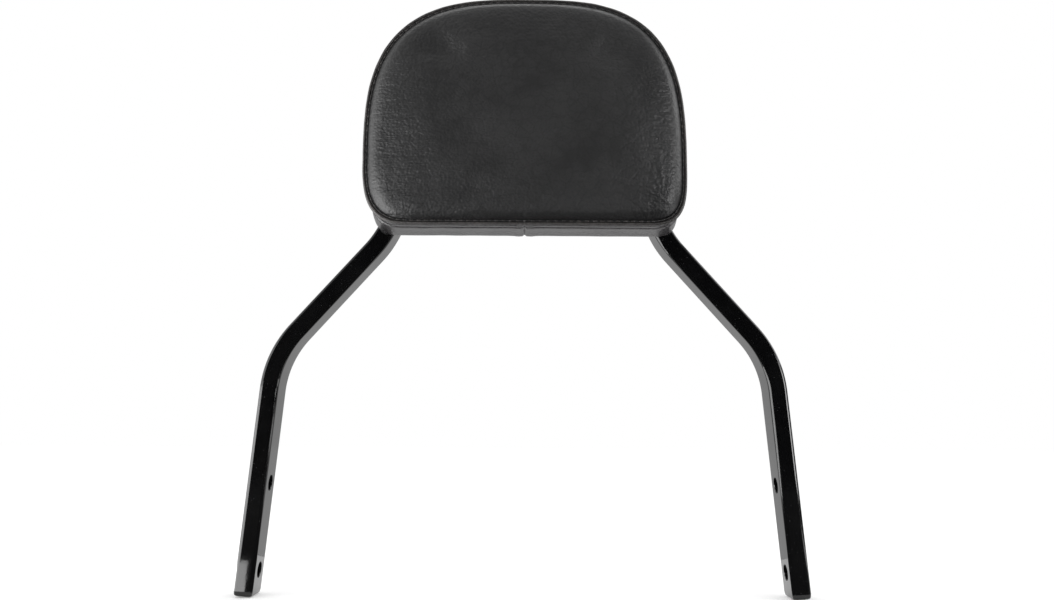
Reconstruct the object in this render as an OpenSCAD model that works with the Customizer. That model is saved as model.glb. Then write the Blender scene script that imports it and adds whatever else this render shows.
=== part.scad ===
// Sissy bar: a bent flat-bar hoop with two cross straps and an upholstered back pad.
// Millimetres. +Z is up and the front faces -Y. The origin is level with the ends of the legs,
// midway between them and midway between the front of the pad and the back of the bar.

/* [Bar] */
// Width of the flat bar, as seen from the front
bar_w = 11; // [9:0.5:13]
// Depth of the flat bar, front to back
bar_d = 22; // [19:0.5:26]
// Radius of the bar's rolled corners
bar_corner_r = 1.6; // [0.8:0.1:2.4]
// Radius of every bend, at the middle of the bar
bend_r = 60; // [52:1:64]
// Height of the bevel around each leg's end
end_bevel_h = 2.8; // [1.4:0.2:4.2]
// Depth of the bevel around each leg's end
end_bevel = 0.7; // [0.3:0.1:1.1]

/* [Hoop] */
// Distance between the two lower bolt holes
bolt_span = 317; // [300:1:340]
// Lean of each leg away from upright
leg_splay = 5.25; // [3:0.25:8]
// Height of the lower bends' corner above the legs' ends
lower_corner_z = 137.8; // [124:0.2:150]
// Lean of each shoulder away from upright
shoulder_lean = 41.75; // [36:0.25:47]
// Outside width of the hoop behind the pad
hoop_w = 162; // [150:1:166]
// Height of the hoop's top above the legs' ends
hoop_top_z = 330.4; // [322:0.2:336]

/* [Bolt holes] */
// Diameter of the four bolt holes in the legs
bolt_hole_d = 9; // [6.5:0.5:11]
// Distance between the two holes in a leg
bolt_pitch = 50; // [40:1:60]
// Distance from a lower hole to the leg's end
bolt_to_end = 14.4; // [11:0.2:20]

/* [Cross straps] */
// Height of each strap
strap_h = 20; // [16:0.5:22]
// Thickness of each strap
strap_t = 4; // [3:0.5:6]
// Height of the lower strap's middle above the legs' ends
lower_strap_z = 253; // [247:0.5:260]
// Height of the upper strap's middle above the legs' ends
upper_strap_z = 299; // [290:0.5:302]
// Gap between a strap's end and the bar, before welding
weld_gap = 0.2; // [0.1:0.05:0.4]
// Leg length of the fillet welds
weld_leg = 3.6; // [2.4:0.2:5]

/* [Pad screws] */
// Distance from each screw to the inside of the hoop's straight side
screw_to_side = 35; // [32:1:42]
// Diameter of the pad screws
screw_d = 6; // [5:0.5:6]
// Length of the pad screws below the head
screw_len = 20; // [18:0.5:22]
// Diameter of the screws' button heads
head_d = 10.5; // [9.5:0.1:12]
// Height of the screws' button heads
head_h = 3.3; // [2.6:0.1:3.8]
// Width of the hex socket across its flats
socket_af = 4; // [3:0.5:4.5]
// Outside diameter of the flat washers
washer_d = 12.5; // [11.5:0.1:15]
// Thickness of the flat washers
washer_t = 1.6; // [1:0.1:2]
// Outside diameter of the spring washers
spring_washer_d = 10.2; // [9.6:0.1:11.4]
// Thickness of the spring washers
spring_washer_t = 1.6; // [1.2:0.1:2]
// Diameter of the tee nuts' flanges
tee_flange_d = 17.5; // [15:0.5:20]
// Thickness of the tee nuts' flanges
tee_flange_t = 1.2; // [0.8:0.1:1.8]
// Outside diameter of the tee nuts' barrels
tee_barrel_d = 7.8; // [7.4:0.1:9]
// Length of the tee nuts' barrels
tee_barrel_len = 7.5; // [5:0.5:8.5]

/* [Pad] */
// Width of the pad, over its welt
pad_w = 182; // [178:1:196]
// Height of the pad, over its welt
pad_h = 131; // [128:1:142]
// Height of the pad's bottom edge above the legs' ends
pad_bottom_z = 208.2; // [204:0.2:212]
// Depth of the pad from its back to the front of its welt
pad_d = 42; // [36:1:50]
// Height taken up by each rounded bottom corner at the welt
corner_h = 39; // [32:1:50]
// Width taken up by each rounded bottom corner at the welt
corner_w = 27; // [20:1:34]
// Height taken up by each rounded bottom corner at the board
board_corner_h = 27; // [24:1:38]
// Width taken up by each rounded bottom corner at the board
board_corner_w = 21; // [16:1:27]
// How far the front panel stands up above its seam in the middle
crown = 9; // [6:0.5:14]
// Thickness of the plywood board
board_t = 9; // [9:0.5:12]
// Thickness of the vinyl
vinyl_t = 1.2; // [0.8:0.1:1.6]
// Thickness of the back panel
back_t = 1; // [0.8:0.1:1.4]
// Margin of the boxing left showing around the back panel
back_margin = 4; // [3:0.5:6]
// Width of the boxing that is turned in behind the board
turn_in = 13; // [10:0.5:14]
// How far the boxing bows out between the board and the welt
boxing_bow = 0.9; // [0.4:0.1:1.2]
// Distance from the welt back to the crease that runs round the boxing
crease_back = 14; // [9:0.5:20]
// Depth of the crease in the boxing
crease_depth = 0.7; // [0.3:0.1:1]
// Width of the welt, from the seam to its outer edge
welt_w = 2.6; // [2:0.1:3.4]
// Thickness of the welt, front to back
welt_t = 3.2; // [2.6:0.1:4]
// How far the welt stands out past the boxing
welt_out = 1.6; // [1.1:0.1:2]
// Distance from the front of the welt back to the seam
seam_back = 1.4; // [1:0.1:1.6]
// Clearance between parts of the pad that lie on each other
pad_gap = 0.15; // [0.05:0.05:0.25]

/* [Hidden] */

gloss_black = [0.05, 0.05, 0.055];
zinc = [0.72, 0.73, 0.74];
black_zinc = [0.1, 0.1, 0.105];
plywood = [0.72, 0.58, 0.4];
foam_grey = [0.55, 0.55, 0.57];
black_vinyl = [0.13, 0.13, 0.135];
black_cloth = [0.09, 0.09, 0.095];
weld_grey = [0.09, 0.09, 0.095];

corner_steps = 3;
bend_step = 4.5;
fine = 48;
eps = 0.01;

// Centre line of the hoop
hoop_x = (hoop_w - bar_w) / 2;
top_z = hoop_top_z - bar_w / 2;
lower_hole_z = bolt_to_end * cos(leg_splay);
lower_corner_x = bolt_span / 2 - (lower_corner_z - lower_hole_z) * tan(leg_splay);
shoulder_z = lower_corner_z + (lower_corner_x - hoop_x) / tan(shoulder_lean);
end_x = bolt_span / 2 + bolt_to_end * sin(leg_splay);
right_corners = [[hoop_x, top_z], [hoop_x, shoulder_z], [lower_corner_x, lower_corner_z], [end_x, 0]];
left_corners = [for (i = [3:-1:0]) [-right_corners[i].x, right_corners[i].y]];
corners = concat(left_corners, right_corners);

// Where the straight sides behind the pad start and end
side_low_z = shoulder_z + bend_r * tan(shoulder_lean / 2);
side_high_z = top_z - bend_r;
inner_r = bend_r - bar_w / 2;
outer_r = bend_r + bar_w / 2;

// Depths inside the pad, from its back towards the front
flange_t0 = back_t;
board_t0 = flange_t0 + vinyl_t;
foam_t0 = board_t0 + board_t;
seam_t = pad_d - seam_back;
welt_t0 = pad_d - welt_t;

// The pad and the bar lie back to front about the origin
bar_front_y = (seam_t + crown - bar_d) / 2;
bar_mid_y = bar_front_y + bar_d / 2;
strap_back_y = bar_front_y + strap_t;

core_inset = welt_out + vinyl_t + pad_gap;
screw_x = hoop_w / 2 - bar_w - screw_to_side;
screw_hole_d = screw_d + 0.6;
screw_clear = 0.1;
tee_pocket_d = tee_flange_d + 1.5;
screw_tip_t = screw_len - strap_t - washer_t - spring_washer_t;

module place_pad(t0) {
    translate([0, bar_front_y - t0, pad_bottom_z]) rotate([90, 0, 0]) children();
}

// Sweep of closed rings, capped at both ends, or joined end to end. Its faces are flat quads, or
// where the rings change shape, quads split along one diagonal or the other.
flat_quads = 0;
rising_split = 1;
falling_split = 2;
function quad_faces(a, b, c, d, split) =
    split == rising_split ? [[a, b, c], [a, c, d]]
    : split == falling_split ? [[a, b, d], [b, c, d]]
    : [[a, b, c, d]];
function ring_faces(rings, n, loop, split) = [
    for (k = [0:rings - (loop ? 1 : 2)], i = [0:n - 1])
        let (next = ((k + 1) % rings) * n, j = (i + 1) % n)
        each quad_faces(k * n + i, k * n + j, next + j, next + i, split)
];
function cap_faces(rings, n) = [[for (i = [n - 1:-1:0]) i], [for (i = [0:n - 1]) (rings - 1) * n + i]];
module skin(rings, split = flat_quads) {
    n = len(rings[0]);
    polyhedron([for (r = rings) each r],
               concat(ring_faces(len(rings), n, false, split), cap_faces(len(rings), n)));
}
module skin_loop(rings) {
    polyhedron([for (r = rings) each r], ring_faces(len(rings), len(rings[0]), true, rising_split));
}

// Section of the flat bar: u lies in the plane of the hoop, v runs front to back
function section_corner(u, v, start) = [
    for (i = [0:corner_steps])
        let (a = start + 90 * i / corner_steps) [u + bar_corner_r * cos(a), v + bar_corner_r * sin(a)]
];
function bar_section(inset) =
    let (u = bar_w / 2 - inset - bar_corner_r, v = bar_d / 2 - inset - bar_corner_r)
    concat(section_corner(u, v, 0), section_corner(-u, v, 90),
           section_corner(-u, -v, 180), section_corner(u, -v, 270));

function heading(p, q) = atan2(q.y - p.y, q.x - p.x);
function step_along(p, a, length) = [p.x + length * cos(a), p.y + length * sin(a)];

// Stations along the centre line: point, heading, inset of the section
function bend_stations(i) =
    let (a = heading(corners[i - 1], corners[i]), b = heading(corners[i], corners[i + 1]),
         turn = b - a, side = sign(turn), steps = ceil(abs(turn) / bend_step),
         start = step_along(corners[i], a, -bend_r * tan(abs(turn) / 2)))
    [for (k = [0:steps])
        let (h = a + turn * k / steps)
        [[start.x + side * bend_r * (sin(h) - sin(a)), start.y - side * bend_r * (cos(h) - cos(a))], h, 0]];
function end_stations(p, q, first) =
    let (h = heading(p, q), tip = first ? p : q, inner = step_along(tip, h, first ? end_bevel_h : -end_bevel_h))
    first ? [[tip, h, end_bevel], [inner, h, 0]] : [[inner, h, 0], [tip, h, end_bevel]];
function bar_ring(station) =
    let (p = station[0], h = station[1])
    [for (s = bar_section(station[2])) [p.x - s.x * sin(h), bar_mid_y + s.y, p.y + s.x * cos(h)]];

last = len(corners) - 1;
stations = concat(end_stations(corners[0], corners[1], true),
                  [for (i = [1:last - 1]) each bend_stations(i)],
                  end_stations(corners[last - 1], corners[last], false));

module leg_holes() {
    for (side = [-1, 1], up = [0, bolt_pitch])
        translate([side * bolt_span / 2, bar_mid_y, lower_hole_z]) rotate([0, -side * leg_splay, 0])
            translate([0, 0, up]) rotate([0, 90, 0])
                cylinder(d = bolt_hole_d, h = 2 * bar_w, center = true, $fn = fine);
}

// Bar bent once at each corner, bevelled at its ends and drilled for the bolts
module hoop_bar() {
    color(gloss_black) difference() {
        skin([for (s = stations) bar_ring(s)]);
        leg_holes();
    }
}

// Inner face of the hoop's right side at height z: [x, direction of the face's normal]
function inner_face(z) =
    z > side_high_z
        ? [hoop_x - bend_r + sqrt(pow(inner_r, 2) - pow(z - side_high_z, 2)),
           180 + asin((z - side_high_z) / inner_r)]
    : z < side_low_z
        ? [hoop_x + bend_r - sqrt(pow(outer_r, 2) - pow(side_low_z - z, 2)),
           180 + asin((side_low_z - z) / outer_r)]
    : [hoop_x - bar_w / 2, 180];

strap_steps = 8;
function strap_edge(mid, side) = [
    for (i = [0:strap_steps])
        let (z = mid + side * strap_h * (i / strap_steps - 0.5))
        [side * (inner_face(z)[0] - weld_gap), z]
];

// Flat strap whose ends follow the inside of the hoop
module strap(mid) {
    translate([0, strap_back_y, 0]) rotate([90, 0, 0]) linear_extrude(strap_t) difference() {
        polygon(concat(strap_edge(mid, 1), strap_edge(mid, -1)));
        for (side = [-1, 1]) translate([side * screw_x, mid]) circle(d = screw_hole_d, $fn = fine);
    }
}
module lower_strap() { color(gloss_black) strap(lower_strap_z); }
module upper_strap() { color(gloss_black) strap(upper_strap_z); }

// Fillet weld along a strap's end, laid as a row of overlapping beads
bead_rings = 19;
bead_gap = 0.08;
bead_points = 4;
function bead_section(leg) = concat(
    [[bead_gap, bead_gap]],
    [for (i = [0:bead_points])
        let (a = 90 * i / bead_points, r = leg * (1 - 0.2 * sin(2 * a)))
        [bead_gap + r * cos(a), bead_gap + r * sin(a)]]);
function bead_leg(k) =
    k == 0 || k == bead_rings - 1 ? 0.35 * weld_leg
    : weld_leg * (k % 2 == 0 ? 1 : 0.86);
function bead_ring(k, mid, side) =
    let (z = mid + (strap_h - 2) * (k / (bead_rings - 1) - 0.5), f = inner_face(z))
    [for (s = bead_section(bead_leg(k)))
        [side * (f[0] + s.x * cos(f[1])), strap_back_y + s.y, z + s.x * sin(f[1])]];
module strap_welds(mid) {
    skin([for (k = [0:bead_rings - 1]) bead_ring(k, mid, 1)]);
    skin([for (k = [bead_rings - 1:-1:0]) bead_ring(k, mid, -1)]);
}
module lower_strap_welds() { color(weld_grey) strap_welds(lower_strap_z); }
module upper_strap_welds() { color(weld_grey) strap_welds(upper_strap_z); }

// Outline of the pad: an arch on top of two rounded bottom corners, each a quarter of a
// superellipse. It is drawn in by inset on all sides, and its corners are squarer at the board
// than at the welt.
function depth_mix(t) = min(1, max(0, (t - foam_t0) / (welt_t0 - foam_t0)));
arch_power = 2.95;
corner_power = 3;
arch_steps = 18;
foot_steps = 7;
function super_point(a, b, power, angle) =
    let (r = pow(pow(abs(cos(angle)) / a, power) + pow(abs(sin(angle)) / b, power), -1 / power))
    [r * cos(angle), r * sin(angle)];
function right_half(inset, t) =
    let (half = pad_w / 2 - inset, m = depth_mix(t),
         w = board_corner_w + (corner_w - board_corner_w) * m,
         h = board_corner_h + (corner_h - board_corner_h) * m)
    concat(
        [for (i = [0:foot_steps])
            let (p = super_point(w, h - inset, corner_power, -90 + 90 * i / foot_steps))
            [half - w + p.x, h + p.y]],
        [for (i = [1:arch_steps - 1])
            let (p = super_point(half, pad_h - h - inset, arch_power, 90 * i / arch_steps))
            [p.x, h + p.y]]);
function outline(inset, t) =
    let (half = right_half(inset, t))
    concat(half, [[0, pad_h - inset]], [for (i = [len(half) - 1:-1:0]) [-half[i].x, half[i].y]]);

// Ring of the pad: outline drawn in by inset, shrunk towards the pad's middle, at depth t
pad_mid_z = pad_h / 2;
function pad_ring(inset, shrink, t) = [
    for (p = outline(inset, t))
        [p.x * shrink, bar_front_y - t, pad_bottom_z + pad_mid_z + (p.y - pad_mid_z) * shrink]
];

// Rise of the stuffed front above the seam, from 0 at the seam to 1 in the middle
function puff(shrink) = pow(1 - pow(shrink, 10), 0.6);
front_shrinks = [0.12, 0.4, 0.62, 0.76, 0.86, 0.92, 0.96, 0.985];
shrink_count = len(front_shrinks);

// Stuffed front panel of vinyl, with its edge sewn into the welt's seam
module front_panel() {
    outer = [for (s = front_shrinks) pad_ring(welt_w, s, seam_t + crown * puff(s))];
    inner = [for (i = [shrink_count - 1:-1:0])
        let (s = front_shrinks[i]) pad_ring(welt_w, s, seam_t - vinyl_t + crown * puff(s))];
    edge = [pad_ring(welt_w, 1, seam_t), pad_ring(welt_w, 1, seam_t - vinyl_t)];
    color(black_vinyl) skin(concat(outer, edge, inner), rising_split);
}

// Flat folded welt that runs around the front edge, in front of the boxing
module edge_welt() {
    near = welt_w - pad_gap;
    section = [
        [near, seam_t - vinyl_t], [near, seam_t + 0.3], [welt_w * 0.75, pad_d - 0.3], [welt_w * 0.5, pad_d],
        [welt_w * 0.2, pad_d - 0.3], [0, pad_d - welt_t * 0.35], [0, welt_t0 + welt_t * 0.25],
        [welt_w * 0.2, welt_t0], [near, welt_t0]
    ];
    color(black_vinyl) skin_loop([for (p = section) pad_ring(p.x, 1, p.y)]);
}

// Boxing: one strip of vinyl around the foam and the board, turned in behind the board and
// joined end to end at the middle of the bottom
module boxing_band() {
    out = welt_out;
    front_t = welt_t0 - pad_gap;
    crease_t = welt_t0 - crease_back;
    crease_w = 1.6;
    seam_cut = 0.3;
    section = [
        [out, front_t], [out - boxing_bow * 0.8, front_t - 5], [out - boxing_bow, crease_t + crease_w],
        [out - boxing_bow + crease_depth, crease_t], [out - boxing_bow, crease_t - crease_w],
        [out - boxing_bow * 0.5, foam_t0], [out, flange_t0 + 0.8], [out + 0.8, flange_t0],
        [out + turn_in, flange_t0], [out + turn_in, board_t0 - pad_gap],
        [out + vinyl_t, board_t0 - pad_gap], [out + vinyl_t, foam_t0], [out + vinyl_t, front_t]
    ];
    color(black_vinyl) difference() {
        skin_loop([for (p = section) pad_ring(p.x, 1, p.y)]);
        translate([-seam_cut / 2, bar_front_y - pad_d, pad_bottom_z - eps]) cube([seam_cut, pad_d, corner_h]);
    }
}

module screw_places() {
    for (mid = [lower_strap_z, upper_strap_z]) screw_pair(mid) children();
}
module screw_pair(mid) {
    for (side = [-1, 1])
        translate([side * screw_x, bar_front_y, mid]) rotate([90, 0, 0]) children();
}

// Foam block between the board and the front panel, hollowed over each tee nut
module foam_core() {
    foam_top = seam_t - vinyl_t - pad_gap;
    low = [pad_ring(core_inset, 1, foam_t0), pad_ring(core_inset, 1, welt_t0 - pad_gap)];
    front = [for (i = [shrink_count - 1:-1:0])
        let (s = front_shrinks[i]) pad_ring(welt_w + vinyl_t, s, foam_top + crown * puff(s))];
    color(foam_grey) difference() {
        skin(reverse(concat(low, front)), falling_split);
        screw_places() translate([0, 0, foam_t0 - eps])
            cylinder(d = tee_pocket_d, h = max(tee_flange_t, screw_tip_t - foam_t0) + 1, $fn = fine);
    }
}
function reverse(list) = [for (i = [len(list) - 1:-1:0]) list[i]];

// Prongs of a tee nut, grown by clear on all sides for the slots that they cut in the board
prong_len = 5.5;
prong_w = 2.4;
prong_t = 1;
module prongs(clear) {
    for (a = [45:90:315]) rotate([0, 0, a])
        translate([tee_flange_d / 2 - prong_t - 0.6, 0, foam_t0]) rotate([0, 90, 0])
            translate([0, 0, -clear]) linear_extrude(prong_t + 2 * clear)
                polygon([[-clear, -prong_w / 2 - clear], [prong_len + 2 * clear, -0.3 - clear],
                         [prong_len + 2 * clear, 0.3 + clear], [-clear, prong_w / 2 + clear]]);
}

module pad_board() {
    color(plywood) difference() {
        place_pad(board_t0) linear_extrude(board_t) polygon(outline(core_inset, board_t0));
        screw_places() translate([0, 0, board_t0 - 1])
            cylinder(d = tee_barrel_d + 2 * screw_clear, h = board_t + 2, $fn = fine);
        screw_places() prongs(0.1);
    }
}

// Tee nut: a pronged flange on the board's front, with a barrel down into the board
module tee_nut() {
    bore_d = screw_d + 2 * screw_clear;
    difference() {
        union() {
            translate([0, 0, foam_t0]) cylinder(d = tee_flange_d, h = tee_flange_t, $fn = fine);
            translate([0, 0, foam_t0 - tee_barrel_len])
                cylinder(d = tee_barrel_d, h = tee_barrel_len + tee_flange_t / 2, $fn = fine);
        }
        translate([0, 0, foam_t0 - tee_barrel_len - 1])
            cylinder(d = bore_d, h = tee_barrel_len + tee_flange_t + 2, $fn = fine);
    }
    prongs(0);
}
module lower_tee_nuts() { color(zinc) screw_pair(lower_strap_z) tee_nut(); }
module upper_tee_nuts() { color(zinc) screw_pair(upper_strap_z) tee_nut(); }

module back_panel() {
    color(black_cloth) difference() {
        place_pad(0) linear_extrude(back_t - pad_gap) polygon(outline(welt_out + back_margin, 0));
        screw_places() translate([0, 0, -1]) cylinder(d = screw_hole_d + 1, h = back_t + 2, $fn = fine);
    }
}

// Button-head screw from behind, through both washers, the strap and the tee nut
module pad_screw() {
    seat = -(strap_t + washer_t + spring_washer_t);
    dome_r = (pow(head_d / 2, 2) + pow(head_h, 2)) / (2 * head_h);
    difference() {
        union() {
            translate([0, 0, seat]) cylinder(d = screw_d, h = screw_len, $fn = fine);
            intersection() {
                translate([0, 0, seat - head_h]) cylinder(d = head_d, h = head_h, $fn = fine);
                translate([0, 0, seat - head_h + dome_r]) sphere(r = dome_r, $fn = fine);
            }
        }
        translate([0, 0, seat - head_h - 1]) cylinder(d = socket_af / cos(30), h = head_h * 0.6 + 1, $fn = 6);
    }
}
module lower_pad_screws() { color(black_zinc) screw_pair(lower_strap_z) pad_screw(); }
module upper_pad_screws() { color(black_zinc) screw_pair(upper_strap_z) pad_screw(); }

module flat_washer() {
    translate([0, 0, -strap_t - washer_t]) linear_extrude(washer_t) difference() {
        circle(d = washer_d, $fn = fine);
        circle(d = screw_d + 0.4, $fn = fine);
    }
}
module lower_flat_washers() { color(black_zinc) screw_pair(lower_strap_z) flat_washer(); }
module upper_flat_washers() { color(black_zinc) screw_pair(upper_strap_z) flat_washer(); }

// Spring washer, split at one side
module spring_washer() {
    bore_d = screw_d + 0.3;
    translate([0, 0, -strap_t - washer_t - spring_washer_t])
        rotate_extrude(angle = 346, $fn = fine)
            translate([bore_d / 2, 0]) square([(spring_washer_d - bore_d) / 2, spring_washer_t]);
}
module lower_spring_washers() { color(black_zinc) screw_pair(lower_strap_z) spring_washer(); }
module upper_spring_washers() { color(black_zinc) screw_pair(upper_strap_z) spring_washer(); }

hoop_bar();
lower_strap();
upper_strap();
lower_strap_welds();
upper_strap_welds();
pad_board();
foam_core();
front_panel();
edge_welt();
boxing_band();
back_panel();
lower_tee_nuts();
upper_tee_nuts();
lower_pad_screws();
upper_pad_screws();
lower_spring_washers();
upper_spring_washers();
lower_flat_washers();
upper_flat_washers();
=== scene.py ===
import math
import random

import bmesh
import bpy
from mathutils import Matrix, Vector, noise


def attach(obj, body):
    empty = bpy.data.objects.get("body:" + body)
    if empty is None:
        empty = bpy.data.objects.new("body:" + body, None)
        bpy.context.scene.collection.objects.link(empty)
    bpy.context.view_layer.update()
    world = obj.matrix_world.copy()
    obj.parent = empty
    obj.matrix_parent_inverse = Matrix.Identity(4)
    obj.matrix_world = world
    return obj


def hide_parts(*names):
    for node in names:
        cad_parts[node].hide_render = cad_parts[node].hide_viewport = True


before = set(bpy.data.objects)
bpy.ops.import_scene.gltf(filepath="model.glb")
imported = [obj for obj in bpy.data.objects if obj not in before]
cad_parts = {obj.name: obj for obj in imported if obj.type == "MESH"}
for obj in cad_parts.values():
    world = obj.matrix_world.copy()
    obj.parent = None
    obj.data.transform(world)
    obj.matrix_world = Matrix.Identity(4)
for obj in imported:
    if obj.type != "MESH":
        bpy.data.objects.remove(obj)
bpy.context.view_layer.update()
print("frame loaded:", len(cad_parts), "nodes")

mm = 0.001
scene = bpy.context.scene
rng = random.Random(7)


# camera first: place in mm, tilt and roll in degrees, all fitted to the photograph
camera = {
    "imageWidth": 1054, "focalPixels": 1047.0, "sensorWidth": 36.0,
    "place": (1.69, -599.1, 93.0), "tilt": 7.28, "roll": 0.32,
    "nearest": 0.01, "farthest": 50,
}


def addCamera():
    data = bpy.data.cameras.new("photoCamera")
    data.sensor_width = camera["sensorWidth"]
    data.lens = camera["sensorWidth"] * camera["focalPixels"] / camera["imageWidth"]
    data.clip_start = camera["nearest"]
    data.clip_end = camera["farthest"]
    obj = bpy.data.objects.new("photoCamera", data)
    scene.collection.objects.link(obj)
    turn = Matrix.Rotation(math.radians(90 + camera["tilt"]), 4, "X")
    roll = Matrix.Rotation(math.radians(camera["roll"]), 4, "Z")
    obj.matrix_world = Matrix.Translation(Vector(camera["place"]) * mm) @ turn @ roll
    scene.camera = obj


addCamera()
print("camera placed")


# small helpers for node materials

def newMaterial(name):
    mat = bpy.data.materials.new(name)
    mat.use_nodes = True
    mat.node_tree.nodes.clear()
    out = mat.node_tree.nodes.new("ShaderNodeOutputMaterial")
    shader = mat.node_tree.nodes.new("ShaderNodeBsdfPrincipled")
    mat.node_tree.links.new(shader.outputs[0], out.inputs[0])
    return mat, shader


def addNode(mat, kind, settings=None, **sockets):
    node = mat.node_tree.nodes.new(kind)
    for key, value in (settings or {}).items():
        setattr(node, key, value)
    for key, value in sockets.items():
        put(mat, value, node.inputs[key])
    return node


def put(mat, value, socket):
    if isinstance(value, bpy.types.NodeSocket):
        mat.node_tree.links.new(value, socket)
    else:
        socket.default_value = value


def noiseNode(mat, where, scale, detail=2.0, rough=0.5, distort=0.0):
    node = addNode(mat, "ShaderNodeTexNoise", Vector=where)
    node.inputs["Scale"].default_value = scale
    node.inputs["Detail"].default_value = detail
    node.inputs["Roughness"].default_value = rough
    node.inputs["Distortion"].default_value = distort
    return node.outputs[0]


def remap(mat, value, fromLow, fromHigh, toLow=0.0, toHigh=1.0):
    node = addNode(mat, "ShaderNodeMapRange", Value=value)
    for key, number in zip(("From Min", "From Max", "To Min", "To Max"), (fromLow, fromHigh, toLow, toHigh)):
        node.inputs[key].default_value = number
    return node.outputs[0]


def mathNode(mat, kind, a, b=0.0):
    node = addNode(mat, "ShaderNodeMath", {"operation": kind})
    put(mat, a, node.inputs[0])
    put(mat, b, node.inputs[1])
    return node.outputs[0]


def bump(mat, height, distance, strength=1.0, under=None):
    node = addNode(mat, "ShaderNodeBump", Height=height)
    node.inputs["Distance"].default_value = distance
    node.inputs["Strength"].default_value = strength
    if under is not None:
        mat.node_tree.links.new(under, node.inputs["Normal"])
    return node.outputs[0]


def objectCoords(mat, stretch=(1, 1, 1)):
    coords = addNode(mat, "ShaderNodeTexCoord").outputs["Object"]
    node = addNode(mat, "ShaderNodeMapping", Vector=coords)
    node.inputs["Scale"].default_value = stretch
    return node.outputs[0]


def colourMix(mat, factor, low, high):
    # inputs 6 and 7 of the colour mix are its two colours, output 2 is the result
    node = addNode(mat, "ShaderNodeMix", {"data_type": "RGBA"})
    put(mat, factor, node.inputs[0])
    for socket, colour in ((node.inputs[6], low), (node.inputs[7], high)):
        put(mat, colour if isinstance(colour, bpy.types.NodeSocket) else (*colour, 1), socket)
    return node.outputs[2]


# materials: scales are waves per metre, depths are metres
paint = {
    "colour": (0.0016, 0.0016, 0.0018), "dust": (0.0034, 0.0034, 0.0036), "speck": (0.05, 0.05, 0.052),
    "dustScale": 38, "speckScale": 1300, "speckFrom": 0.78, "speckTo": 0.83,
    "roughLow": 0.055, "roughHigh": 0.09, "roughScale": 120,
    "orangePeel": 700, "peelDepth": 0.000012, "peelStrength": 0.35,
}


def glossBlack(name, rough=0.0):
    mat, shader = newMaterial(name)
    where = objectCoords(mat)
    patches = noiseNode(mat, where, paint["dustScale"], 4, 0.6)
    plain = colourMix(mat, remap(mat, patches, 0.42, 0.7), paint["colour"], paint["dust"])
    specks = remap(mat, noiseNode(mat, where, paint["speckScale"], 0), paint["speckFrom"], paint["speckTo"])
    put(mat, colourMix(mat, specks, plain, paint["speck"]), shader.inputs["Base Color"])
    put(mat, remap(mat, noiseNode(mat, where, paint["roughScale"], 3), 0.35, 0.7,
                   paint["roughLow"] + rough, paint["roughHigh"] + rough), shader.inputs["Roughness"])
    peel = noiseNode(mat, where, paint["orangePeel"], 1)
    put(mat, bump(mat, peel, paint["peelDepth"], paint["peelStrength"]), shader.inputs["Normal"])
    shader.inputs["Specular IOR Level"].default_value = 0.5
    return mat


# the vinyl's two colours: the darker is where the painted shade of the creases pulls the grain, the lighter is
# its unshaded tone
vinyl = {
    "colour": (0.0042, 0.0042, 0.0046), "lighterTone": (0.0120, 0.0118, 0.0122), "rough": (0.43, 0.50),
    "bendScale": 0.012,
    "pebble": 620, "pebbleDepth": 0.0003, "pebbleStrength": 0.62,
    "crease": 150, "creaseStrength": 0.32,
    "foldTurn": (0, 0.9, 0), "foldStretch": (70, 70, 330), "foldDepth": 0.0009, "foldStrength": 0.7,
    "fine": 210, "fineDepth": 0.00025, "fineStrength": 0.3,
}
# level wrinkles by the left and right edges, which stop where the panel rolls over
sideWrinkle = {
    "stretch": (62, 62, 430), "from": 0.045, "to": 0.070, "rollAt": 0.0835, "fade": 0.004,
    "depth": 0.00032, "strength": 0.5,
}


def sideWrinkles(mat, where):
    # short level wrinkles toward the left and right edges, in patches
    parts = addNode(mat, "ShaderNodeSeparateXYZ", Vector=where)
    away = mathNode(mat, "ABSOLUTE", parts.outputs[0])
    outer = remap(mat, away, sideWrinkle["from"], sideWrinkle["to"])
    roll = remap(mat, away, sideWrinkle["rollAt"], sideWrinkle["rollAt"] - sideWrinkle["fade"])
    band = mathNode(mat, "MULTIPLY", outer, roll)
    patches = remap(mat, noiseNode(mat, where, 55, 2), 0.36, 0.58, 0.1, 1.0)
    stretched = addNode(mat, "ShaderNodeMapping", Vector=where)
    stretched.inputs["Scale"].default_value = sideWrinkle["stretch"]
    lines = remap(mat, noiseNode(mat, stretched.outputs[0], 1.0, 2.5, 0.55, 0.6), 0.35, 0.65)
    return mathNode(mat, "MULTIPLY", lines, mathNode(mat, "MULTIPLY", band, patches))


def warpedCoords(mat, where):
    # the place bent a little by noise, so that no cell of the grain is straight
    shift = addNode(mat, "ShaderNodeVectorMath", {"operation": "SCALE"})
    put(mat, addNode(mat, "ShaderNodeTexNoise", Vector=where).outputs["Color"], shift.inputs[0])
    shift.inputs["Scale"].default_value = vinyl["bendScale"]
    warped = addNode(mat, "ShaderNodeVectorMath", {"operation": "ADD"})
    put(mat, where, warped.inputs[0])
    put(mat, shift.outputs[0], warped.inputs[1])
    return warped.outputs[0]


def cells(mat, where, feature, scale, smoothness=None):
    node = addNode(mat, "ShaderNodeTexVoronoi", {"feature": feature}, Vector=where)
    node.inputs["Scale"].default_value = scale
    if smoothness is not None:
        node.inputs["Smoothness"].default_value = smoothness
    return node.outputs["Distance"]


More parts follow.
